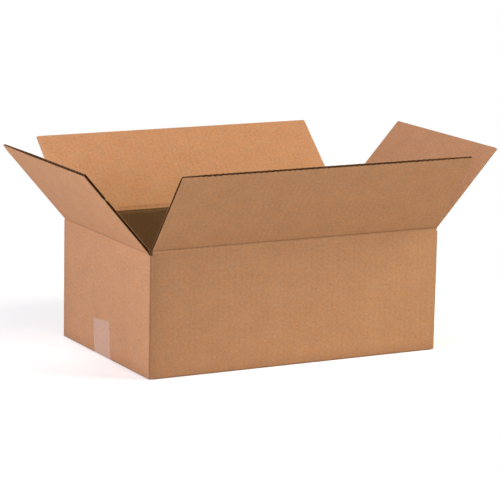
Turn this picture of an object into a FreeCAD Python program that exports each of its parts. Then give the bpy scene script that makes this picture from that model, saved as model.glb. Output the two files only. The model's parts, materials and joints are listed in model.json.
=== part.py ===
import FreeCAD, Part
import math
import os

from FreeCAD import Vector

# An open slotted box, folded from one sheet of corrugated board. The bottom
# flaps are folded shut under clear tape, and the four top flaps stand open.
# Millimetres and degrees. The origin is on the floor under the middle of the
# box, X runs along the front panel, Y points at the back panel, and Z is up.

# The box, over its outside faces
box_length = 414.0
box_width = 262.0
long_crease_height = 162.4

# The board: two liners glued to the crests of a fluted medium
board = 4.0
liner = 0.4
medium = 0.35
flute_pitch = 7.8
flute_crest = 1.2

# Folds and creases
corner_radius = 4.5
inner_corner_radius = 0.8
fold_radius = 2.5
inner_fold_radius = 1.0
crushed_board = 1.0
crease_gap = 0.3
crushed_band = 6.0

# Slots that part the top flaps, measured from the box's corners
long_flap_inset = 3.0
short_flap_inset = 5.5
slot_overrun = 2.0

# How far each top flap is turned outwards from upright
front_flap_angle = 37.7
back_flap_angle = 48.2
left_flap_angle = 40.8
right_flap_angle = 42.2

# Gaps between the boards when the flaps are shut
seam_gap = 1.0
flap_gap = 0.3

# Bottom flaps: the inner ones come off the end panels, and step up over the outer ones
outer_bottom_inset = 7.0
inner_bottom_inset = 4.8
layer_gap = 0.2
corner_foot = 1.0

# Glued lap inside the corner of the back and right panels
lap_width = 35.0
lap_end_gap = 6.0
lap_taper = 9.0
panel_end_gap = 0.6

# Clear tape along the bottom seam and up both end panels
tape_width = 48.0
tape_film = 0.08
tape_turn_up = 45.0
tape_offset = 6.5
tape_lean = 5.0

half_length = box_length / 2
half_width = box_width / 2
long_flap_width = box_length - 2 * long_flap_inset
short_flap_width = box_width - 2 * short_flap_inset
long_flap_depth = half_width - seam_gap / 2

# The short flaps shut first and the long ones lie on them, so their creases are a
# board lower. All eight flaps end on the sheet's straight edges, so the short top
# flaps are deeper by the same step.
crease_step = board + flap_gap
short_crease_height = long_crease_height - crease_step
short_flap_depth = long_flap_depth + crease_step
slot_floor = short_crease_height - slot_overrun

# Each crease turns about a line in the panel's outer face, where the crushed board
# is a round bead. The panel below ends in a mitre that leaves the bead its gap.
bead_radius = crushed_board / 2
mitre_drop = math.sqrt(2) * (bead_radius + crease_gap)
panel_top_start = slot_floor - board
panel_bottom_end = 4 * board


def face(start, *steps):
    """A flat face. A step is the next corner, or an arc given as (point on it, its end)."""
    edges = []
    here = start
    for step in steps:
        if isinstance(step, tuple):
            edges.append(Part.Arc(here, step[0], step[1]).toShape())
            here = step[1]
        else:
            edges.append(Part.makeLine(here, step))
            here = step
    edges.append(Part.makeLine(here, start))
    return Part.Face(Part.Wire(edges))


def on_arc(centre, radius, angle):
    """The point of a circle in the YZ plane, at an angle from +Y towards +Z."""
    turn = math.radians(angle)
    return centre + Vector(0, radius * math.cos(turn), radius * math.sin(turn))


def turned_to_side(shape, side):
    """Moves a shape made on the front panel's outside, at y = 0, to one of the four sides."""
    quarter_turns = {"front": 0, "right": 1, "back": 2, "left": 3}[side]
    reach = half_width if side in ("front", "back") else half_length
    moved = shape.copy()
    moved.translate(Vector(0, -reach, 0))
    moved.rotate(Vector(0, 0, 0), Vector(0, 0, 1), 90 * quarter_turns)
    return moved


def extruded_along_crease(section, width):
    """A section in the YZ plane, drawn out to a width centred on x = 0."""
    section.translate(Vector(-width / 2, 0, 0))
    return section.extrude(Vector(width, 0, 0))


# Side panels


def panel_plan():
    """The four panels seen from above, as one band of board with three round corners."""
    reach = corner_radius * math.sin(math.radians(45))
    outside = []
    for x_side, y_side in ((-1, 1), (-1, -1), (1, -1)):
        centre = Vector(x_side * (half_length - corner_radius), y_side * (half_width - corner_radius), 0)
        on_end = centre + Vector(x_side * corner_radius, 0, 0)
        on_long = centre + Vector(0, y_side * corner_radius, 0)
        middle = centre + Vector(x_side * reach, y_side * reach, 0)
        first, last = (on_long, on_end) if x_side * y_side < 0 else (on_end, on_long)
        outside.append((first, middle, last))
    # The back panel's cut edge lies over the fold of the right panel into the glued lap.
    lap_face = half_width - board
    fold_centre = Vector(half_length - fold_radius, lap_face - fold_radius, 0)
    fold_reach = fold_radius * math.sin(math.radians(45))
    cut_edge = half_length - panel_end_gap
    steps = []
    for first, middle, last in outside:
        steps.append(first)
        steps.append((middle, last))
    steps.append(fold_centre + Vector(fold_radius, 0, 0))
    steps.append((fold_centre + Vector(fold_reach, fold_reach, 0), fold_centre + Vector(0, fold_radius, 0)))
    steps.append(Vector(cut_edge, lap_face, 0))
    return face(Vector(cut_edge, half_width, 0), *steps)


def panel_ring():
    """The four panels between the slots at the top and the folds at the bottom."""
    inside_length = box_length - 2 * board
    inside_width = box_width - 2 * board
    height = slot_floor - corner_foot
    ring = panel_plan().extrude(Vector(0, 0, height))
    room = Part.makeBox(inside_length, inside_width, height, Vector(-inside_length / 2, -inside_width / 2, 0))
    upright = [e for e in room.Edges if abs(e.Vertexes[0].Z - e.Vertexes[-1].Z) > height / 2]
    ring = ring.cut(room.makeFillet(inner_corner_radius, upright))
    ring.translate(Vector(0, 0, corner_foot))
    return ring


def between_creases(ring):
    """Takes the ring away where the bottom folds and the end panels' heads go, and leaves its corners."""
    length = box_length - 2 * outer_bottom_inset
    width = box_width - 2 * inner_bottom_inset
    height = fold_radius + tape_film
    along = Part.makeBox(length, 2 * box_width, height, Vector(-length / 2, -box_width, 0))
    across = Part.makeBox(2 * box_length, width, height, Vector(-box_length, -width / 2, 0))
    head_start = Vector(-box_length, -short_flap_width / 2, panel_top_start)
    heads = Part.makeBox(2 * box_length, short_flap_width, board, head_start)
    return ring.cut([along, across, heads])


def panel_top(width, crease):
    """The head of a panel between two slots, mitred under its crease."""
    outer_top = crease - mitre_drop
    section = face(
        Vector(0, 0, panel_top_start),
        Vector(0, 0, outer_top),
        Vector(0, board, outer_top - board),
        Vector(0, board, panel_top_start),
    )
    return extruded_along_crease(section, width)


# Bottom flaps


def outer_bottom_flap():
    """Foot of a long panel, folded under the box and cut back to the seam."""
    fold = Vector(0, fold_radius, fold_radius)
    inner_fold = Vector(0, board + inner_fold_radius, board + inner_fold_radius)
    section = face(
        Vector(0, 0, panel_bottom_end),
        on_arc(fold, fold_radius, 180),
        (on_arc(fold, fold_radius, 225), on_arc(fold, fold_radius, 270)),
        Vector(0, long_flap_depth, 0),
        Vector(0, long_flap_depth, board),
        on_arc(inner_fold, inner_fold_radius, 270),
        (on_arc(inner_fold, inner_fold_radius, 225), on_arc(inner_fold, inner_fold_radius, 180)),
        Vector(0, board, panel_bottom_end),
    )
    return extruded_along_crease(section, box_length - 2 * outer_bottom_inset)


def inner_bottom_flap():
    """Foot of an end panel, whose flap steps up at half a right angle onto the outer flaps."""
    underside = board + layer_gap
    topside = underside + board
    fold = Vector(0, fold_radius, fold_radius + tape_film)
    inner_fold = Vector(0, board + inner_fold_radius, topside + inner_fold_radius)
    step_end = fold_radius + underside - tape_film
    section = face(
        Vector(0, 0, panel_bottom_end),
        on_arc(fold, fold_radius, 180),
        (on_arc(fold, fold_radius, 225), on_arc(fold, fold_radius, 270)),
        Vector(0, step_end, underside),
        Vector(0, short_flap_depth, underside),
        Vector(0, short_flap_depth, topside),
        on_arc(inner_fold, inner_fold_radius, 270),
        (on_arc(inner_fold, inner_fold_radius, 225), on_arc(inner_fold, inner_fold_radius, 180)),
        Vector(0, board, panel_bottom_end),
    )
    return extruded_along_crease(section, box_width - 2 * inner_bottom_inset)


def glued_lap():
    """The right panel's lap, which turns the corner and is glued to the back panel's inside."""
    right = half_length - board
    left = right - lap_width
    low = 2 * board + layer_gap + lap_end_gap
    high = slot_floor - lap_end_gap
    front = half_width - 2 * board
    outline = face(
        Vector(right, front, low),
        Vector(right, front, high),
        Vector(left, front, high - lap_taper),
        Vector(left, front, low + lap_taper),
    )
    return outline.extrude(Vector(0, board, 0))


def carton_body():
    """The whole sheet apart from its top flaps, with a pressed track under the tape."""
    pieces = [glued_lap()]
    for side in ("front", "back"):
        pieces.append(turned_to_side(panel_top(long_flap_width, long_crease_height), side))
        pieces.append(turned_to_side(outer_bottom_flap(), side))
    for side in ("left", "right"):
        pieces.append(turned_to_side(panel_top(short_flap_width, short_crease_height), side))
        pieces.append(turned_to_side(inner_bottom_flap(), side))
    body = between_creases(panel_ring()).fuse(pieces).removeSplitter()
    track_start = Vector(-half_length, tape_offset - tape_width / 2, 0)
    track = Part.makeBox(box_length, tape_width, tape_film, track_start)
    return body.cut(track)


# Top flaps


def flute_voids(width, depth):
    """The open channels of the board, two to a flute, from the crushed band to the cut edge."""
    flutes = max(1, round(width / flute_pitch))
    pitch = width / flutes
    core = board - 2 * liner
    half_top = flute_crest / 2
    # The medium's flank leans so that its own thickness is kept between two channels.
    run = pitch / 2 - 2 * half_top
    rise = core - 2 * medium
    root = medium * math.sqrt(run ** 2 + rise ** 2 - medium ** 2)
    lean = (run * rise - root) / (rise ** 2 - medium ** 2)
    half_base = half_top + (core - medium) * lean
    voids = []
    for half_step in range(2 * flutes + 1):
        x = half_step * pitch / 2 - width / 2
        opens_inwards = half_step % 2 == 0
        base = board - liner if opens_inwards else liner
        top = liner + medium if opens_inwards else board - liner - medium
        channel = face(
            Vector(x - half_base, base, crushed_band),
            Vector(x + half_base, base, crushed_band),
            Vector(x + half_top, top, crushed_band),
            Vector(x - half_top, top, crushed_band),
        )
        voids.append(channel.extrude(Vector(0, 0, depth)))
    return voids


def top_flap(width, depth, crease, angle, side):
    """A flap of fluted board on its crease bead, turned outwards from upright and set on its side."""
    axis = Vector(0, 0, 0)
    bevel_start = on_arc(axis, bead_radius, -45)
    section = face(
        Vector(0, 0, depth),
        on_arc(axis, bead_radius, 90),
        (on_arc(axis, bead_radius, 200), bevel_start),
        Vector(0, board, board - math.sqrt(2) * bead_radius),
        Vector(0, board, depth),
    )
    flap = extruded_along_crease(section, width).cut(flute_voids(width, depth))
    flap.rotate(axis, Vector(1, 0, 0), angle)
    flap.translate(Vector(0, 0, crease))
    return turned_to_side(flap, side)


# Tape


def tape_turned_up(side):
    """The end of the tape, round the bottom fold and up an end panel, with its slight lean."""
    outer_radius = fold_radius + tape_film
    fold = Vector(0, fold_radius, outer_radius)
    section = face(
        on_arc(fold, fold_radius, 180),
        (on_arc(fold, fold_radius, 225), on_arc(fold, fold_radius, 270)),
        on_arc(fold, outer_radius, 270),
        (on_arc(fold, outer_radius, 225), on_arc(fold, outer_radius, 180)),
    )
    bend = extruded_along_crease(section, tape_width)
    along = Vector(-math.sin(math.radians(tape_lean)), 0, math.cos(math.radians(tape_lean)))
    across = Vector(along.z, 0, -along.x)
    foot = Vector(0, 0, outer_radius)
    top = foot + along * tape_turn_up
    upright = face(
        foot - Vector(tape_width / 2, 0, 0),
        foot + Vector(tape_width / 2, 0, 0),
        top + across * (tape_width / 2),
        top - across * (tape_width / 2),
    ).extrude(Vector(0, -tape_film, 0))
    end = bend.fuse(upright)
    toward_back = tape_offset if side == "right" else -tape_offset
    end.translate(Vector(toward_back, 0, 0))
    return turned_to_side(end, side)


def bottom_tape():
    """One strip of film: flat under the bottom seam, and turned up on both end panels."""
    length = box_length - 2 * fold_radius
    start = Vector(-length / 2, tape_offset - tape_width / 2, 0)
    strip = Part.makeBox(length, tape_width, tape_film, start)
    return strip.fuse([tape_turned_up("left"), tape_turned_up("right")]).removeSplitter()


def parts():
    long_flap = (long_flap_width, long_flap_depth, long_crease_height)
    short_flap = (short_flap_width, short_flap_depth, short_crease_height)
    return {
        "carton_body": carton_body(),
        "bottom_tape": bottom_tape(),
        "front_flap": top_flap(*long_flap, front_flap_angle, "front"),
        "back_flap": top_flap(*long_flap, back_flap_angle, "back"),
        "left_flap": top_flap(*short_flap, left_flap_angle, "left"),
        "right_flap": top_flap(*short_flap, right_flap_angle, "right"),
    }


os.makedirs("parts", exist_ok=True)
for node, shape in parts().items():
    shape.exportStep("parts/" + node + ".step")
    print(node, len(shape.Solids), "solid", round(shape.Volume / 1000, 2), "cm3", shape.isValid())
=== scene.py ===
import json
import math

import bpy
import numpy as np
from mathutils import Matrix, Vector


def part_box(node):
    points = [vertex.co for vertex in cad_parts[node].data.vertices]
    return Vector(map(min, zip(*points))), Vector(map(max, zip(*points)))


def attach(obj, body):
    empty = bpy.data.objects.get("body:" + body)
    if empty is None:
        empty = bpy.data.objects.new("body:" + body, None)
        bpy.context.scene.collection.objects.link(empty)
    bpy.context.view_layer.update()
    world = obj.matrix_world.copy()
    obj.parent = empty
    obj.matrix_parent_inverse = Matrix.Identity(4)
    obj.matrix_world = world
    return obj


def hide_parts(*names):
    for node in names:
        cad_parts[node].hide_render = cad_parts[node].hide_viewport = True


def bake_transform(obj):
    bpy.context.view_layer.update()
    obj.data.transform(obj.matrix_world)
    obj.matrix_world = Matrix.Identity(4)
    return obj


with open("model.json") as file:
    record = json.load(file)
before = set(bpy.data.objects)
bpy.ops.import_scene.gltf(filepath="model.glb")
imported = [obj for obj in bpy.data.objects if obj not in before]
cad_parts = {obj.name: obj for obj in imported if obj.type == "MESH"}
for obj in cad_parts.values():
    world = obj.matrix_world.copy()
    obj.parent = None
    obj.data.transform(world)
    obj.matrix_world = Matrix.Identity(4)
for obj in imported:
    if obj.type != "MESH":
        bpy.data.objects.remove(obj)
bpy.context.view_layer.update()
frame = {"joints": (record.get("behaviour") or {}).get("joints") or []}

# Carton blank
# The walls and the bottom flaps are one die-cut sheet of C-flute corrugated
# board: two kraft liners glued to a fluted medium. It is bent at its scores, and
# its end turns in at the back right as the glued lap.

MM = 0.001
BOARD = 4.0 * MM
FLUTE = 7.8 * MM

# Real liners are about 0.3 mm thick and the medium about 0.2 mm. Both are drawn
# thicker, so that they show at the cut edges.
LINER = 0.36 * MM
MEDIUM = 0.46 * MM
CREST_GAP = 0.01 * MM
FACE_GAP = 0.02 * MM

hinge = {joint["child"]: Vector(joint["pos_m"]) for joint in frame["joints"]}
half_length = -hinge["left_flap"].x
half_width = -hinge["front_flap"].y
long_crease = hinge["front_flap"].z
short_crease = hinge["left_flap"].z
long_slot = half_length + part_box("front_flap")[0].x
short_slot = half_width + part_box("left_flap")[0].y
slot_floor = short_crease - 1.2 * MM
SLIT = 0.02 * MM
OUTER_CORNER = 4.5 * MM
INNER_CORNER = 0.8 * MM
CORNER_FOOT = 1.0 * MM
CORNER_STEPS = 8
START_GAP = 0.6 * MM
HEAD_GAP = 3.0 * MM
HEAD_MITRE = 1.5 * MM
MITRE_RUN = 12.0 * MM
HEAD_ZONE = 8.0 * MM
LAP_WIDTH = 35.0 * MM
LAP_FOLD = 2.5 * MM
LAP_GLUE = 0.05 * MM
LAP_TAPER = 9.0 * MM
LAP_FOOT = 14.2 * MM
LAP_DROP = 6.0 * MM


def by_side(long_side, short_side):
    """One value for the two long sides and one for the two short sides, by the side's name."""
    return {"front": long_side, "right": short_side, "back": long_side, "left": short_side}


# The sides in the order of their turns round the box, and in the order in which
# the sheet runs, from its cut end at the back right to the lap there.
SIDES = ("front", "right", "back", "left")
CHAIN = ("back", "left", "front", "right")
half_panel = by_side(half_length, half_width)
top_slot = by_side(long_slot, short_slot)
bottom_slot = by_side(7.0 * MM, 4.8 * MM)
crease_height = by_side(long_crease, short_crease)
panel_middle = {}
run = 0.0
for side in CHAIN:
    panel_middle[side] = run + half_panel[side]
    run += 2 * half_panel[side]


def to_side(points, side):
    """Points on the front panel, as (along it, into the board, up), turned to one of the sides."""
    turned = np.array(points, float)
    turned[:, 1] -= half_width if side in ("front", "back") else half_length
    for _ in range(SIDES.index(side)):
        turned = np.stack([-turned[:, 1], turned[:, 0], turned[:, 2]], 1)
    return turned


def plan_of_blank():
    """The blank's line seen from above: running length, and its outer and inner face there."""
    stations = []
    corner = BOARD + INNER_CORNER

    def station(run, side, outer, inner):
        pair = to_side([(*outer, 0), (*inner, 0)], side)
        stations.append((run, *pair[0, :2], *pair[1, :2]))

    def inner_arc(half, turn):
        return (
            half - corner + INNER_CORNER * math.sin(turn),
            corner - INNER_CORNER * math.cos(turn),
        )

    def outer_arc(half, radius, turn):
        return half - radius * (1 - math.sin(turn)), radius * (1 - math.cos(turn))

    for side in CHAIN:
        half, middle = half_panel[side], panel_middle[side]
        first = START_GAP - half if side == "back" else corner - half
        station(middle + first, side, (first, 0), (first, BOARD))
        if side == "right":
            break
        for step in range(CORNER_STEPS + 1):
            turn = math.radians(90 * step / CORNER_STEPS)
            at = half - corner + 2 * corner * step / CORNER_STEPS
            outer = outer_arc(half, OUTER_CORNER, turn)
            station(middle + at, side, outer, inner_arc(half, turn))
    lap_face = half_width - BOARD - LAP_GLUE
    for step in range(CORNER_STEPS + 1):
        turn = math.radians(90 * step / CORNER_STEPS)
        at = lap_face - corner * (1 - step / CORNER_STEPS)
        outer = outer_arc(lap_face, LAP_FOLD, turn)
        station(panel_middle["right"] + at, "right", outer, inner_arc(lap_face, turn))
    lap_end = BOARD + LAP_WIDTH
    lap_run = panel_middle["right"] + lap_face + lap_end - corner
    station(lap_run, "right", (lap_face, lap_end), (lap_face - BOARD, lap_end))
    return np.array(stations), lap_run


plan, lap_run = plan_of_blank()
lap_start = panel_middle["right"] + half_width - BOARD

# The feet of the sheet in mm, from the wall to the end of the bottom flap: how
# far up the sheet, and where its outer and its inner face lie, each as (into the
# box, up). The long bottom flaps lie outside, and the short ones on top of them.
FOOT_FOLD = 2.5
FOOT_LIFT = 0.1
FOOT_STEPS = 6
INNER_FOLD_IN = 5
OUTER_END = -129.4
INNER_END = -135.3


def fold_rows(inner_height):
    """The bend at a foot, with the middle of its inner face's arc at a height in mm."""
    rows = []
    for step in range(FOOT_STEPS + 1):
        turn = math.radians(90 * step / FOOT_STEPS)
        outer_in = FOOT_FOLD * (1 - math.cos(turn))
        outer_up = FOOT_LIFT + FOOT_FOLD * (1 - math.sin(turn))
        inner = (INNER_FOLD_IN - math.cos(turn), inner_height - math.sin(turn))
        rows.append((FOOT_FOLD - FOOT_FOLD * turn, outer_in, outer_up, *inner))
    return rows


outer_rows = [(16, 0, 16, 4, 16)] + fold_rows(5)
outer_rows += [(-12, 13.1, 0.1, 13.1, 4), (OUTER_END, 130.5, 0.1, 130.5, 4)]
inner_rows = [(20, 0, 20, 4, 20)] + fold_rows(9.2)
inner_rows += [(-7.2, 6.6, 4.2, 8, 8.2), (-16, 15.5, 4.2, 15.5, 8.2)]
inner_rows += [(INNER_END, 134.8, 4.2, 134.8, 8.2)]
outer_foot, inner_foot = np.array(outer_rows) * MM, np.array(inner_rows) * MM
foot_rows = by_side(outer_foot, inner_foot)
flap_end = by_side(OUTER_END * MM, INNER_END * MM)


def place_on_blank(run, up, into):
    """Where points of the folded blank lie: run along its panels, up them, and into the board."""
    share = (into / BOARD)[:, None]
    outer = np.stack([np.interp(run, plan[:, 0], plan[:, i]) for i in (1, 2)], 1)
    inner = np.stack([np.interp(run, plan[:, 0], plan[:, i]) for i in (3, 4)], 1)
    points = np.concatenate([outer * (1 - share) + inner * share, up[:, None]], 1)
    for side in CHAIN:
        quarter = math.radians(90 * SIDES.index(side))
        inward = np.array([-math.sin(quarter), math.cos(quarter), 0.0])
        off_middle = np.abs(run - panel_middle[side])
        foot = foot_rows[side]
        in_flap = off_middle <= half_panel[side] - bottom_slot[side] + SLIT / 4
        in_flap &= up < foot[0, 0]
        rising = foot[::-1]
        reach, height = [
            np.interp(up, rising[:, 0], rising[:, 1 + i]) * (1 - share[:, 0])
            + np.interp(up, rising[:, 0], rising[:, 3 + i]) * share[:, 0]
            for i in (0, 1)
        ]
        points[in_flap] += (inward * (reach - into)[:, None])[in_flap]
        points[in_flap, 2] = height[in_flap]
        head = crease_height[side] - HEAD_GAP
        in_head = off_middle <= half_panel[side] - top_slot[side] + SLIT / 4
        near_head = np.clip((up - head + MITRE_RUN) / MITRE_RUN, 0, 1)
        mitre = HEAD_MITRE * share[:, 0] * near_head
        points[in_head, 2] -= mitre[in_head]
    in_lap = run > lap_start
    taper = np.clip((run - lap_start) / LAP_WIDTH, 0, 1) * LAP_TAPER
    low, high = LAP_FOOT + taper, slot_floor - LAP_DROP - taper
    whole = np.clip((up - CORNER_FOOT) / (slot_floor - CORNER_FOOT), 0, 1)
    points[in_lap, 2] = (low + whole * (high - low))[in_lap]
    return points


def on_blank(run, up):
    """Which cells of a grid over the sheet are board, and which are slots or waste."""
    kept = (up > CORNER_FOOT) & (up < slot_floor) & (run > panel_middle["back"] - half_length)
    for side in CHAIN:
        off_middle = np.abs(run - panel_middle[side])
        foot = half_panel[side] - bottom_slot[side]
        kept |= (off_middle < foot) & (up > flap_end[side]) & (up <= CORNER_FOOT)
        kept &= ~((off_middle > foot) & (off_middle < foot + SLIT) & (up < FOOT_FOLD * MM))
        head = off_middle < half_panel[side] - top_slot[side]
        top = crease_height[side] - HEAD_GAP
        kept = np.where(head & (up > slot_floor - HEAD_ZONE), up < top, kept)
    kept &= ~((run > lap_start - SLIT) & (run < lap_start))
    return kept


def fluting(run):
    """How deep the medium's middle lies in the board along the run, and half its thickness."""
    phase = 2 * math.pi * run / FLUTE
    swing = (BOARD - 2 * LINER - MEDIUM) / 2 - CREST_GAP
    slope = swing * 2 * math.pi / FLUTE * np.cos(phase)
    return BOARD / 2 + swing * np.sin(phase), MEDIUM / 2 * np.sqrt(1 + slope ** 2)


def add_layer(mesh_data, across, along, low, high, place, kept, slots):
    """Adds one layer of board as a closed sheet: two faces on a grid, and the cuts round them."""
    across, along = np.unique(np.round(across, 9)), np.unique(np.round(along, 9))
    wide, tall = len(across), len(along)
    run, up = [grid.ravel() for grid in np.meshgrid(across, along, indexing="ij")]
    points = np.concatenate([place(run, up, low(run)), place(run, up, high(run))])
    middle_run, middle_up = np.meshgrid(
        (across[1:] + across[:-1]) / 2, (along[1:] + along[:-1]) / 2, indexing="ij"
    )
    cells = kept(middle_run, middle_up)
    padded = np.pad(cells, 1)
    corners = np.arange(2 * wide * tall).reshape(2, wide, tall)

    def quads(mask, picks):
        i, j = np.nonzero(mask)
        return np.stack([corners[k, i + a, j + b] for k, a, b in picks], 1)

    faces = [
        quads(cells, ((0, 0, 0), (0, 1, 0), (0, 1, 1), (0, 0, 1))),
        quads(cells, ((1, 0, 0), (1, 0, 1), (1, 1, 1), (1, 1, 0))),
        quads(cells & ~padded[:-2, 1:-1], ((0, 0, 0), (0, 0, 1), (1, 0, 1), (1, 0, 0))),
        quads(cells & ~padded[2:, 1:-1], ((0, 1, 0), (1, 1, 0), (1, 1, 1), (0, 1, 1))),
        quads(cells & ~padded[1:-1, :-2], ((0, 0, 0), (1, 0, 0), (1, 1, 0), (0, 1, 0))),
        quads(cells & ~padded[1:-1, 2:], ((0, 0, 1), (0, 1, 1), (1, 1, 1), (1, 0, 1))),
    ]
    finish = [np.full(len(part), slots[min(k, 2)]) for k, part in enumerate(faces)]
    faces = np.concatenate(faces)
    used, faces = np.unique(faces, return_inverse=True)
    start = sum(len(part) for part in mesh_data["points"])
    mesh_data["points"].append(points[used])
    mesh_data["sheet"].append(np.stack([np.tile(run, 2), np.tile(up, 2)], 1)[used])
    mesh_data["faces"].append(faces.reshape(-1, 4) + start)
    mesh_data["finish"].append(np.concatenate(finish))


SHARP_ANGLE = math.radians(50)


def board_piece(name, layers, materials, crease, run_start=0.0, up_start=0.0):
    """A piece of board from its layers. Its UV is the place on the sheet, and the
    attribute crease says how much darker each spot is drawn: at creases partly pressed board and
    partly painted shade, and in bands past the corners."""
    data = {"points": [], "sheet": [], "faces": [], "finish": []}
    for layer in layers:
        add_layer(data, *layer)
    points, sheet, faces, finish = [np.concatenate(part) for part in data.values()]
    mesh = bpy.data.meshes.new(name)
    mesh.from_pydata(points.tolist(), [], faces.tolist())
    for material in materials:
        mesh.materials.append(material)
    mesh.polygons.foreach_set("material_index", finish.astype(np.int32))
    uv = (sheet + (run_start, up_start))[faces.ravel()]
    mesh.uv_layers.new(name="sheet").data.foreach_set("uv", uv.astype(np.float32).ravel())
    darkening = mesh.attributes.new("crease", "FLOAT", "POINT")
    darkening.data.foreach_set("value", crease(sheet[:, 0], sheet[:, 1]).astype(np.float32))
    mesh.set_sharp_from_angle(angle=SHARP_ANGLE)
    piece = bpy.data.objects.new(name, mesh)
    bpy.context.scene.collection.objects.link(piece)
    return piece


def linear(hex_colour):
    """An sRGB hex colour as the linear colour that a shader takes."""
    channels = [int(hex_colour[i:i + 2], 16) / 255 for i in (1, 3, 5)]
    return [c / 12.92 if c <= 0.04045 else ((c + 0.055) / 1.055) ** 2.4 for c in channels] + [1.0]


def node(tree, kind, settings=None, links=None):
    """Adds a node, sets its properties and sockets by name or number, and links its inputs."""
    made = tree.nodes.new("ShaderNode" + kind)
    for key, value in (settings or {}).items():
        if isinstance(key, int):
            made.inputs[key].default_value = value
        elif hasattr(made, key):
            setattr(made, key, value)
        else:
            made.inputs[key].default_value = value
    for key, source in (links or {}).items():
        tree.links.new(source.outputs[0], made.inputs[key])
    return made


# Kraft linerboard, machine-made and unbleached: matte brown paper, cloudy and
# mottled where the pulp lay thick or thin, with fibres lying across the flutes
# and the flutes just showing as a washboard. Clouds are about 28 mm wide, mottle
# 3.4 mm and patches of redder pulp 12 mm. Fibres are about 0.04 mm wide, too
# fine to show, so they are drawn 5 mm long and 0.7 mm wide.
def kraft_paper(name, dark, pale, score_and_shade_colour, washboard=0.05):
    material = bpy.data.materials.new(name)
    material.use_nodes = True
    tree = material.node_tree
    tree.nodes.clear()
    uv = node(tree, "UVMap", {"uv_map": "sheet"})
    sheet = node(tree, "VectorMath", {"operation": "SCALE", "Scale": 1000.0}, {0: uv})
    clouds = node(tree, "TexNoise", {"Scale": 1 / 28.0, "Detail": 2.0}, {"Vector": sheet})
    mottled = {"Scale": 1 / 3.4, "Detail": 3.0, "Roughness": 0.6}
    mottle = node(tree, "TexNoise", mottled, {"Vector": sheet})
    per_fibre = (1 / 5.0, 1 / 0.7, 1.0)
    combed = node(tree, "VectorMath", {"operation": "MULTIPLY", 1: per_fibre}, {0: sheet})
    fibrous = {"Scale": 1.0, "Detail": 2.0, "Roughness": 0.6}
    fibres = node(tree, "TexNoise", fibrous, {"Vector": combed})
    across = node(tree, "SeparateXYZ", {}, {0: sheet})
    per_mm = 2 * math.pi / (FLUTE / MM)
    phase = node(tree, "Math", {"operation": "MULTIPLY", 1: per_mm}, {0: across})
    wave = node(tree, "Math", {"operation": "SINE"}, {0: phase})
    tone = node(tree, "Math", {"operation": "MULTIPLY_ADD", 1: 0.7, 2: -0.35}, {0: clouds})
    for source, share in ((mottle, 2.1), (fibres, 0.9), (wave, washboard)):
        half = 0.0 if source is wave else -share / 2
        part = node(tree, "Math", {"operation": "MULTIPLY_ADD", 1: share, 2: half}, {0: source})
        tone = node(tree, "Math", {"operation": "ADD"}, {0: tone, 1: part})
    tone = node(tree, "Math", {"operation": "ADD", "use_clamp": True, 1: 0.5}, {0: tone})
    paper = node(tree, "MixRGB", {1: linear(dark), 2: linear(pale)}, {0: tone})
    pulp = node(tree, "TexNoise", {"Scale": 1 / 12.0, "Detail": 1.0}, {"Vector": sheet})
    redder = node(tree, "MapRange", {"From Min": 0.3, "From Max": 0.7}, {"Value": pulp})
    tints = {1: (1.03, 0.995, 0.94, 1.0), 2: (0.97, 1.005, 1.06, 1.0)}
    tint = node(tree, "MixRGB", tints, {0: redder})
    paper = node(tree, "MixRGB", {"blend_type": "MULTIPLY", 0: 1.0}, {1: paper, 2: tint})
    # The crease attribute darkens the paper towards the dark colour: at creases partly pressed
    # board and partly painted shade, and in the bands past the corners.
    darkening = node(tree, "Attribute", {"attribute_name": "crease"})
    crease = node(tree, "MixRGB", {2: linear(score_and_shade_colour)}, {1: paper})
    tree.links.new(darkening.outputs["Fac"], crease.inputs[0])
    specks = node(tree, "TexNoise", {"Scale": 0.45, "Detail": 1.0}, {"Vector": combed})
    rare = {"From Min": 0.70, "From Max": 0.76, "To Max": 0.35}
    speck = node(tree, "MapRange", rare, {"Value": specks})
    flecked = node(tree, "MixRGB", {2: linear(score_and_shade_colour)}, {0: speck, 1: crease})
    relief = node(tree, "Math", {"operation": "MULTIPLY_ADD", 1: 0.35}, {0: wave, 2: fibres})
    bump = node(tree, "Bump", {"Strength": 0.35, "Distance": 0.12 * MM}, {"Height": relief})
    rough = node(tree, "MapRange", {"To Min": 0.82, "To Max": 0.95}, {"Value": mottle})
    shader = node(
        tree,
        "BsdfPrincipled",
        {"Specular IOR Level": 0.25},
        {"Base Color": flecked, "Roughness": rough, "Normal": bump},
    )
    node(tree, "OutputMaterial", {}, {"Surface": shader})
    return material


# The liner of the inner walls is drawn darker than the same liner in the flaps:
# painted shade, for the deep shade in a box. The medium's cut edge is drawn paler than its
# faces, so that its wave shows.
outer_kraft = kraft_paper("kraft_liner_outside", "#b88660", "#cc9a70", "#7f5435")
inner_kraft = kraft_paper("kraft_liner_inside", "#c38b60", "#d79f75", "#8c5f40")
shaded_kraft = kraft_paper("kraft_liner_painted_shade", "#6f5131", "#7e5e3b", "#6b4c30")
# The fluting medium, and the faces of both liners inside the flutes, are drawn near black-brown,
# darker than the real grey-brown medium: painted shade of the flutes' depths.
fluting_paper_painted_shade = kraft_paper("fluting_medium_painted_shade", "#43220d", "#5a3015", "#3a1d0b", 0.0)
cut_kraft = kraft_paper("kraft_cut_edge", "#ad845c", "#c39a70", "#8f6842", 0.0)
cut_medium = kraft_paper("fluting_cut_edge", "#93643f", "#ab7950", "#7d5334", 0.0)
OUTSIDE_SLOT, INSIDE_SLOT, MEDIUM_AND_SHADE_SLOT, LINER_CUT_SLOT, MEDIUM_CUT_SLOT, SHADED_SLOT = range(6)


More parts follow.
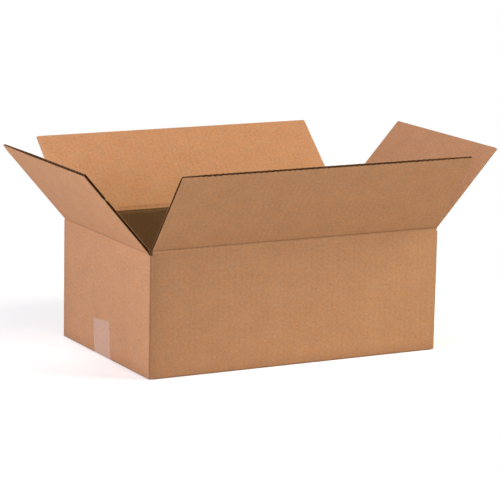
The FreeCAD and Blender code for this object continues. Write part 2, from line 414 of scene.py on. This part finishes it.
def board_layers(run_steps, run_fine, up_steps, up_coarse, place, kept, wave=fluting):
    """The outside liner, the inside liner and the medium between them."""

    def under_medium(r):
        return wave(r)[0] - wave(r)[1] + FACE_GAP

    def over_medium(r):
        return wave(r)[0] + wave(r)[1] - FACE_GAP

    def level(depth):
        return lambda r: 0 * r + depth

    # The faces towards the flutes, of both liners and of the medium, take the near-black fluting
    # paper: painted shade inside the board.
    outside = (OUTSIDE_SLOT, MEDIUM_AND_SHADE_SLOT, LINER_CUT_SLOT)
    inside = (MEDIUM_AND_SHADE_SLOT, INSIDE_SLOT, LINER_CUT_SLOT)
    medium = (MEDIUM_AND_SHADE_SLOT, MEDIUM_AND_SHADE_SLOT, MEDIUM_CUT_SLOT)
    return (
        (run_steps, up_steps, level(0.0), level(LINER), place, kept, outside),
        (run_steps, up_steps, level(BOARD - LINER), level(BOARD), place, kept, inside),
        (run_fine, up_coarse, under_medium, over_medium, place, kept, medium),
    )


def steps(start, end, size):
    """Evenly spaced values from start to end, about size apart."""
    return np.linspace(start, end, max(2, round((end - start) / size) + 1))


edge_runs = list(plan[:, 0])
for side in CHAIN:
    foot = half_panel[side] - bottom_slot[side]
    for off in (half_panel[side] - top_slot[side], foot, foot + SLIT):
        edge_runs += [panel_middle[side] - off, panel_middle[side] + off]
edge_runs += [lap_start - SLIT, lap_start]
blank_start = panel_middle["back"] - half_length + START_GAP
past_corners = [
    panel_middle[side] + half_panel[side] + off * MM for side in CHAIN[:3] for off in (5, 7, 10, 14)
]
run_steps = np.concatenate([edge_runs, past_corners, steps(blank_start, lap_run, FLUTE)])
run_fine = np.concatenate([edge_runs, steps(blank_start, lap_run, FLUTE / 12)])
head_zone = slot_floor - HEAD_ZONE
head_tops = [short_crease - HEAD_GAP, long_crease - HEAD_GAP]
feet = np.concatenate([outer_foot[:, 0], inner_foot[:, 0], [CORNER_FOOT]])
up_steps = np.concatenate([feet, steps(20 * MM, head_zone, 20 * MM), [slot_floor], head_tops])
up_coarse = np.array([INNER_END, OUTER_END, -16, -7.2, -1.4, 1, 2.5, 16]) * MM
up_coarse = np.concatenate([up_coarse, [head_zone, slot_floor], head_tops])

# The liner is drawn darker past each upright corner: a narrow band that is the
# same at all of them, and a wide one whose strength is given here by the
# side that the corner ends.
corner_band_strength = {"back": 0.04, "left": 0.22, "front": 0.1}
CORNER_BAND_NEAR = 6.0 * MM
CORNER_BAND_FAR = 110.0 * MM
SCORE = 2.0 * MM
BOTTOM_SCORE = 2.2 * MM
BOTTOM_SCORE_UP = 0.6 * MM


def darker_past_corner(side, past):
    """How much darker the liner is drawn past the corner that ends a side."""
    return 0.35 * np.exp(-past / CORNER_BAND_NEAR) + corner_band_strength[side] * np.exp(-past / CORNER_BAND_FAR)


def blank_creases_and_shade(run, up):
    """The upright scores at the corners and the bottom scores, darker partly as pressed board and
    partly as painted shade, and the darker bands past the corners.
    """
    darkening = np.zeros(len(run))
    for side in CHAIN[:3]:
        past = run - panel_middle[side] - half_panel[side]
        darkening = np.maximum(darkening, np.clip(1.4 - np.abs(past) / SCORE, 0, 1) * 0.8)
        darkening = np.maximum(darkening, np.where(past > 0, darker_past_corner(side, np.abs(past)), 0))
    folds = np.clip(1.2 - np.abs(up - BOTTOM_SCORE_UP) / BOTTOM_SCORE, 0, 1) * 0.6
    return np.where(run < lap_start, np.maximum(darkening, folds), darkening)


layers = board_layers(run_steps, run_fine, up_steps, up_coarse, place_on_blank, on_blank)
blank_papers = (outer_kraft, shaded_kraft, fluting_paper_painted_shade, cut_kraft, cut_medium)
blank = board_piece("carton_blank", layers, blank_papers, blank_creases_and_shade)

# The slots' floors are cuts too, but lie in the shade between the flaps, so they take the
# near-black fluting paper: painted shade.
for face in blank.data.polygons:
    if face.material_index > MEDIUM_AND_SHADE_SLOT and abs(face.center.z - slot_floor) < SLIT:
        face.material_index = MEDIUM_AND_SHADE_SLOT
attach(blank, "carton")
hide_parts("carton_body")

# Bottom tape
# One strip of clear polypropylene packing tape, 48 mm wide, stuck along the
# bottom seam and turned up both end panels. It came off the roll in one pull.

TAPE_WIDTH = 48.0 * MM
TAPE_OFFSET = 6.5 * MM
TAPE_LEAN = math.tan(math.radians(5.0))
TAPE_LIFT = 0.1 * MM
FILM_OUTSIDE = 0.07 * MM
FILM_INSIDE = 0.02 * MM
TURN_UP = 47.3 * MM
TAPE_FOLD = 2.5 * MM
TAPE_ARC = TAPE_FOLD * math.pi / 2
SLANT_RUN = 12.0 * MM
tape_run = 2 * (TURN_UP - TAPE_FOLD + TAPE_ARC) + 2 * (half_length - TAPE_FOLD)


def place_on_tape(run, across, out):
    """The strip from the left panel's top end, under the box, to the right panel's."""
    side = np.where(run < tape_run / 2, -1.0, 1.0)
    from_end = np.minimum(run, tape_run - run)
    up = np.clip(TURN_UP - from_end, TAPE_FOLD, None)
    turn = np.clip((from_end - TURN_UP + TAPE_FOLD) / TAPE_FOLD, 0, math.pi / 2)
    on_flat = np.clip(from_end - TURN_UP + TAPE_FOLD - TAPE_ARC, 0, None)
    radius = TAPE_FOLD + out
    x = half_length - TAPE_FOLD + radius * np.cos(turn) - on_flat
    z = np.where(turn > 0, TAPE_FOLD - radius * np.sin(turn), up) + TAPE_LIFT
    y = TAPE_OFFSET + across - side * TAPE_LEAN * (up - TAPE_FOLD)
    z += side * across * TAPE_LEAN * np.clip((up - TAPE_FOLD) / SLANT_RUN, 0, 1)
    return np.stack([side * x, y, z], 1)


tape_turns = [TURN_UP - TAPE_FOLD + TAPE_FOLD * turn for turn in np.linspace(0, math.pi / 2, 7)]
tape_end = np.array([0, 8 * MM, 25 * MM] + tape_turns)
tape_flat = steps(70 * MM, tape_run - 70 * MM, 40 * MM)
tape_steps = np.concatenate([tape_end, tape_run - tape_end, tape_flat])


# Biaxially oriented polypropylene with acrylic glue, slit from a wide web: clear
# but hazy over rough paper, where tiny bubbles leave it paler than the board. It
# is drawn hazier than real film, so that it stays smooth from every side, and it
# lets shadow rays through, as clear film does.
def clear_tape(name):
    material = bpy.data.materials.new(name)
    material.use_nodes = True
    tree = material.node_tree
    tree.nodes.clear()
    uv = node(tree, "UVMap", {"uv_map": "sheet"})
    sheet = node(tree, "VectorMath", {"operation": "SCALE", "Scale": 1000.0}, {0: uv})
    bubbles = node(tree, "TexNoise", {"Scale": 1 / 6.0, "Detail": 2.0}, {"Vector": sheet})
    cover = {"From Min": 0.3, "From Max": 0.7, "To Min": 0.58, "To Max": 0.66}
    haze = node(tree, "MapRange", cover, {"Value": bubbles})
    rays = node(tree, "LightPath")
    not_shadow = node(tree, "Math", {"operation": "SUBTRACT", 0: 1.0})
    tree.links.new(rays.outputs["Is Shadow Ray"], not_shadow.inputs[1])
    haze = node(tree, "Math", {"operation": "MULTIPLY"}, {0: haze, 1: not_shadow})
    ripples = node(tree, "TexNoise", {"Scale": 1 / 9.0, "Detail": 1.0}, {"Vector": sheet})
    bump = node(tree, "Bump", {"Strength": 0.3, "Distance": 0.1 * MM}, {"Height": ripples})
    shader = node(
        tree,
        "BsdfPrincipled",
        {"Base Color": linear("#cdab91"), "Roughness": 0.28, "IOR": 1.49},
        {"Alpha": haze, "Normal": bump},
    )
    node(tree, "OutputMaterial", {}, {"Surface": shader})
    return material


film = (
    tape_steps,
    steps(-TAPE_WIDTH / 2, TAPE_WIDTH / 2, 6 * MM),
    lambda r: 0 * r + FILM_OUTSIDE,
    lambda r: 0 * r + FILM_INSIDE,
    place_on_tape,
    lambda r, u: r > 0,
    (0, 0, 0),
)
tape_film = clear_tape("clear_polypropylene_tape")
tape = board_piece("clear_tape_strip", [film], [tape_film], lambda r, u: 0 * r)
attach(tape, "carton")
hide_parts("bottom_tape")

# Top flaps
# Four flaps of the same sheet, scored across the flutes and bent outwards. The
# score crushes the board, so the inside liner dips to it and the outside liner
# folds in as a fine groove. Their cut ends show the open flutes.

HINGE_END = 4.0 * MM
PRESSED = 2.2 * MM
GROOVE = 0.8 * MM
BEND = 1.4 * MM
CREASE_UP = 0.5 * MM
CREASE_WIDTH = 1.5 * MM
CREASE_SHADE_REACH = 5.0 * MM
crease_wear_and_shade = {"front": 0.5, "right": 0.3, "back": 0.0, "left": 0.35}

# The die pressed the side edges of the back and right flaps thin, and left those
# of the front and left flaps open. The left flap has a nick in its front edge.
PINCH = 3.0 * MM
PINCHED_CORE = 0.2 * MM
NICK = 92.0 * MM
NICK_WIDTH = 2.5 * MM
NICK_DEPTH = 0.6

# Free edges that were knocked flat at a corner: which end of the flap, how far
# the board is crushed there, and how far along the edge in metres it reaches.
RIM = 9.0 * MM
knocked_ends = {
    "left": [(-1, 0.6, 0.09)],
    "front": [(-1, 0.4, 0.035), (1, 0.35, 0.06)],
    "right": [],
    "back": [],
}
flap_papers = (outer_kraft, inner_kraft, fluting_paper_painted_shade, cut_kraft, cut_medium, shaded_kraft)
HALF_SEAM = 0.5 * MM
MITRE_END = 2.0 * MM
BLEND_END = 3.0 * MM


def eased(share):
    """A share from 0 to 1 with a soft start and end."""
    return share * share * (3 - 2 * share)


def top_flap(side):
    """One top flap with its crease and the 3 mm of the wall that the crease joins."""
    child = side + "_flap"
    joint = next(j for j in frame["joints"] if j["child"] == child)
    angle = math.radians(joint["range_deg"][1] - 90)
    crease = crease_height[side]
    half = half_panel[side] - top_slot[side]
    depth = half_width - HALF_SEAM + (long_crease - crease)
    lean = np.array([-math.sin(angle), math.cos(angle)])

    def crushed(run, up):
        """How far the board is crushed at its side and free edges, from 0 to 1."""
        cut = np.clip(1 - (half - np.abs(run)) / PINCH, 0, 1) ** 2
        if side == "left":
            cut *= NICK_DEPTH * np.exp(-(((up - NICK) / NICK_WIDTH) ** 2)) * (run > 0)
        elif side == "front":
            cut = 0 * run
        for end, share, reach in knocked_ends[side]:
            along_edge = np.clip(1 - (half - end * run) / reach, 0, 1)
            cut = np.maximum(cut, share * along_edge * np.clip(1 - (depth - up) / RIM, 0, 1))
        return cut

    def place(run, up, into):
        """Points of the flap and its crease: along it, up from the crease and into the board."""
        below_bend = np.clip((MITRE_END - up) / (MITRE_END + HEAD_GAP), 0, 1)
        up = up - HEAD_MITRE * into / BOARD * below_bend
        along = np.clip((up + BEND) / (2 * BEND), 0, 1)
        turned = angle * along * along * (3 - 2 * along)
        weights = np.stack([(1 - along) ** 2, 2 * along * (1 - along), along ** 2], 1)
        outer = weights @ np.stack([np.array([0, -BEND]), np.array([GROOVE, 0]), lean * BEND])
        below, above = up < -BEND, up > BEND
        outer[below] = np.stack([0 * up, up], 1)[below]
        outer[above] = (up[:, None] * lean)[above]
        wall = np.clip((up + HEAD_GAP + HEAD_MITRE) / (HEAD_GAP + HEAD_MITRE), 0, 1)
        flap = np.clip((HINGE_END - up) / HINGE_END, 0, 1)
        crush = np.where(up < 0, eased(wall), eased(flap))
        thick = BOARD - (BOARD - PRESSED) * crush
        pinched = thick - (thick - 2 * LINER - PINCHED_CORE) * crushed(run, up)
        core = (pinched - 2 * LINER) / (BOARD - 2 * LINER)
        pressed = np.where(into <= LINER, into, LINER + (into - LINER) * core)
        pressed = np.where(into >= BOARD - LINER, pinched - (BOARD - into), pressed)
        pressed += (thick - pinched) / 2
        inward = np.stack([np.cos(turned), np.sin(turned)], 1)
        section = outer + inward * pressed[:, None]
        return to_side(np.stack([run, section[:, 0], section[:, 1] + crease], 1), side)

    near = [-3, -2.2, -1.7, -1.4, -1.1, -0.8, -0.5, -0.2, 0, 0.2]
    near = np.array(near + [0.5, 0.8, 1.1, 1.4, 1.8, 2.4, 3.2, 4, 5.5, 8])
    rim = depth - np.array([1, 3, 6, 9]) * MM
    ups = np.concatenate([near * MM, steps(8 * MM, depth, 15 * MM), rim])
    coarse = np.concatenate([near[::2] * MM, [depth], rim])
    if side == "left":
        nicked = NICK + np.linspace(-8, 8, 9) * MM
        ups, coarse = np.concatenate([ups, nicked]), np.concatenate([coarse, nicked])
    pitch = 2 * half / round(2 * half / FLUTE)
    ends = np.array([0.4, 1, 1.8, 3]) * MM
    ends = np.concatenate([half - ends, ends - half])
    runs = np.concatenate([steps(-half, half, pitch), ends])
    fine = np.concatenate([steps(-half, half, pitch / 16), ends])

    def flap_fluting(run):
        return fluting((run + half) * FLUTE / pitch - FLUTE / 4)

    # Each crease is drawn darker, partly as pressed board and partly as painted shade in the fold,
    # with painted shade fading out up the flap from it.
    def crease_and_shade(run, up):
        line = np.exp(-(((up - CREASE_UP) / CREASE_WIDTH) ** 2))
        flap_shade = 0.3 * np.exp(-np.abs(up) / CREASE_SHADE_REACH) * (up > 0)
        return np.maximum(line, flap_shade) * crease_wear_and_shade[side]

    layers = board_layers(runs, fine, ups, coarse, place, lambda r, u: u > -1, flap_fluting)
    sheet_at = (panel_middle[side], crease)
    piece = board_piece(child + "_board", layers, flap_papers, crease_and_shade, *sheet_at)
    # The inside of the wall's strip below each crease takes the darker liner of the inner walls:
    # painted shade.
    for face in piece.data.polygons:
        if face.material_index == INSIDE_SLOT and face.center.z < crease:
            face.material_index = SHADED_SLOT
    start = to_side([(0, 0, crease - HEAD_GAP)], side)[0]
    end = to_side([(0, lean[0] * BLEND_END, crease + lean[1] * BLEND_END)], side)[0]
    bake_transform(piece)
    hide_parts(child)


for side in ("left", "right", "front", "back"):
    top_flap(side)

# Floor, light and camera
# A plain white table under four round softboxes: strong ones low on the left and
# high on the right, and weak ones in front and behind. Their tints are fitted to
# the photo. Below them comes the camera, fitted to the corners of the box in it.

NEAR_EDGE = 0.28
FAR_EDGE = 0.55
CAMERA_LIFT = 0.5
TABLE_HALF = 30
TABLE_GAP = 0.3 * MM


# Matt white laminate. The camera alone sees it lifted by an even glow, which
# keeps the shadow pale, and run out to white away from the box.
def white_table(name):
    material = bpy.data.materials.new(name)
    material.use_nodes = True
    tree = material.node_tree
    tree.nodes.clear()
    rays = node(tree, "LightPath")
    spot = node(tree, "NewGeometry")
    apart = node(tree, "VectorMath", {"operation": "LENGTH"}, {0: spot})
    run_out = {"interpolation_type": "SMOOTHSTEP", "From Min": NEAR_EDGE, "From Max": FAR_EDGE}
    far = node(tree, "MapRange", run_out)
    tree.links.new(apart.outputs["Value"], far.inputs["Value"])
    seen_far = node(tree, "Math", {"operation": "MULTIPLY"}, {0: far})
    tree.links.new(rays.outputs["Is Camera Ray"], seen_far.inputs[1])
    lift = node(tree, "Math", {"operation": "MULTIPLY", 1: CAMERA_LIFT}, {0: rays})
    matt = node(tree, "BsdfDiffuse", {"Color": linear("#f4f4f4")})
    glow = node(tree, "Emission", {"Color": (1, 1, 1, 1)}, {"Strength": lift})
    near = node(tree, "AddShader", {}, {0: matt, 1: glow})
    white = node(tree, "Emission", {"Color": (1, 1, 1, 1), "Strength": 1.0})
    mixed = node(tree, "MixShader", {}, {0: seen_far, 1: near, 2: white})
    node(tree, "OutputMaterial", {}, {"Surface": mixed})
    return material


ways = ((-1, -1), (1, -1), (1, 1), (-1, 1))
table_corners = [(x * TABLE_HALF, y * TABLE_HALF, 0) for x, y in ways]
floor_mesh = bpy.data.meshes.new("floor")
floor_mesh.from_pydata(table_corners, [], [(0, 1, 2, 3)])
floor = bpy.data.objects.new("floor", floor_mesh)
floor.location = (0, 0, -TABLE_GAP)
floor_mesh.materials.append(white_table("white_laminate"))
bpy.context.scene.collection.objects.link(floor)

# White to the camera and in reflections, and dark as a light.
world = bpy.data.worlds.new("studio")
bpy.context.scene.world = world
world.use_nodes = True
sky = world.node_tree
sky.nodes.clear()
rays = node(sky, "LightPath")
seen = node(sky, "Math", {"operation": "MAXIMUM"})
sky.links.new(rays.outputs["Is Camera Ray"], seen.inputs[0])
sky.links.new(rays.outputs["Is Glossy Ray"], seen.inputs[1])
strength = node(sky, "MapRange", {"To Min": 0.0, "To Max": 1.0}, {0: seen})
background = node(sky, "Background", {"Color": (1, 1, 1, 1)}, {"Strength": strength})
node(sky, "OutputWorld", {}, {"Surface": background})

SOFTBOX_WIDTH = 2.0
SOFTBOX_AWAY = 4.0
lit_spot = Vector((0, 0, 0.12))


def softbox(name, compass, height, power, colour):
    """A round softbox 2 m wide and 4 m away. Compass runs from the front towards the left."""
    lamp = bpy.data.lights.new(name, "AREA")
    lamp.shape = "DISK"
    lamp.size = SOFTBOX_WIDTH
    lamp.energy = power
    lamp.color = colour
    turn, rise = math.radians(compass), math.radians(height)
    flat = math.cos(rise)
    way = Vector((-math.sin(turn) * flat, -math.cos(turn) * flat, math.sin(rise)))
    light = bpy.data.objects.new(name, lamp)
    light.location = lit_spot + SOFTBOX_AWAY * way
    light.rotation_euler = (-way).to_track_quat("-Z", "Y").to_euler()
    bpy.context.scene.collection.objects.link(light)


softbox("left_softbox", 75, 12, 109, (1.01, 1.0, 1.17))
softbox("right_softbox", -60, 40, 104, (1.11, 1.0, 0.76))
softbox("front_softbox", 0, 35, 31, (0.89, 1.0, 1.06))
softbox("back_softbox", 180, 55, 43, (0.99, 1.0, 1.03))

FRAME_PX = 500
FOCAL_PX = 2687.13
SENSOR = 36.0
camera_place = (-1.616286, -3.030031, 0.814275)
camera_turn = (28.087, 11.365, 1.121)
camera_data = bpy.data.cameras.new("camera")
camera_data.sensor_width = SENSOR
camera_data.lens = FOCAL_PX / FRAME_PX * SENSOR
camera_data.clip_end = 200
camera = bpy.data.objects.new("camera", camera_data)
yaw, pitch, roll = [math.radians(angle) for angle in camera_turn]
ahead = math.cos(pitch)
forward = Vector((math.sin(yaw) * ahead, math.cos(yaw) * ahead, -math.sin(pitch)))
level = Vector((math.cos(yaw), -math.sin(yaw), 0))
upright = level.cross(forward)
right = math.cos(roll) * level + math.sin(roll) * upright
up = math.cos(roll) * upright - math.sin(roll) * level
axes = Matrix((right, up, -forward)).transposed().to_4x4()
camera.matrix_world = Matrix.Translation(camera_place) @ axes
bpy.context.scene.collection.objects.link(camera)
bpy.context.scene.camera = camera
bpy.context.scene.view_settings.view_transform = "Standard"
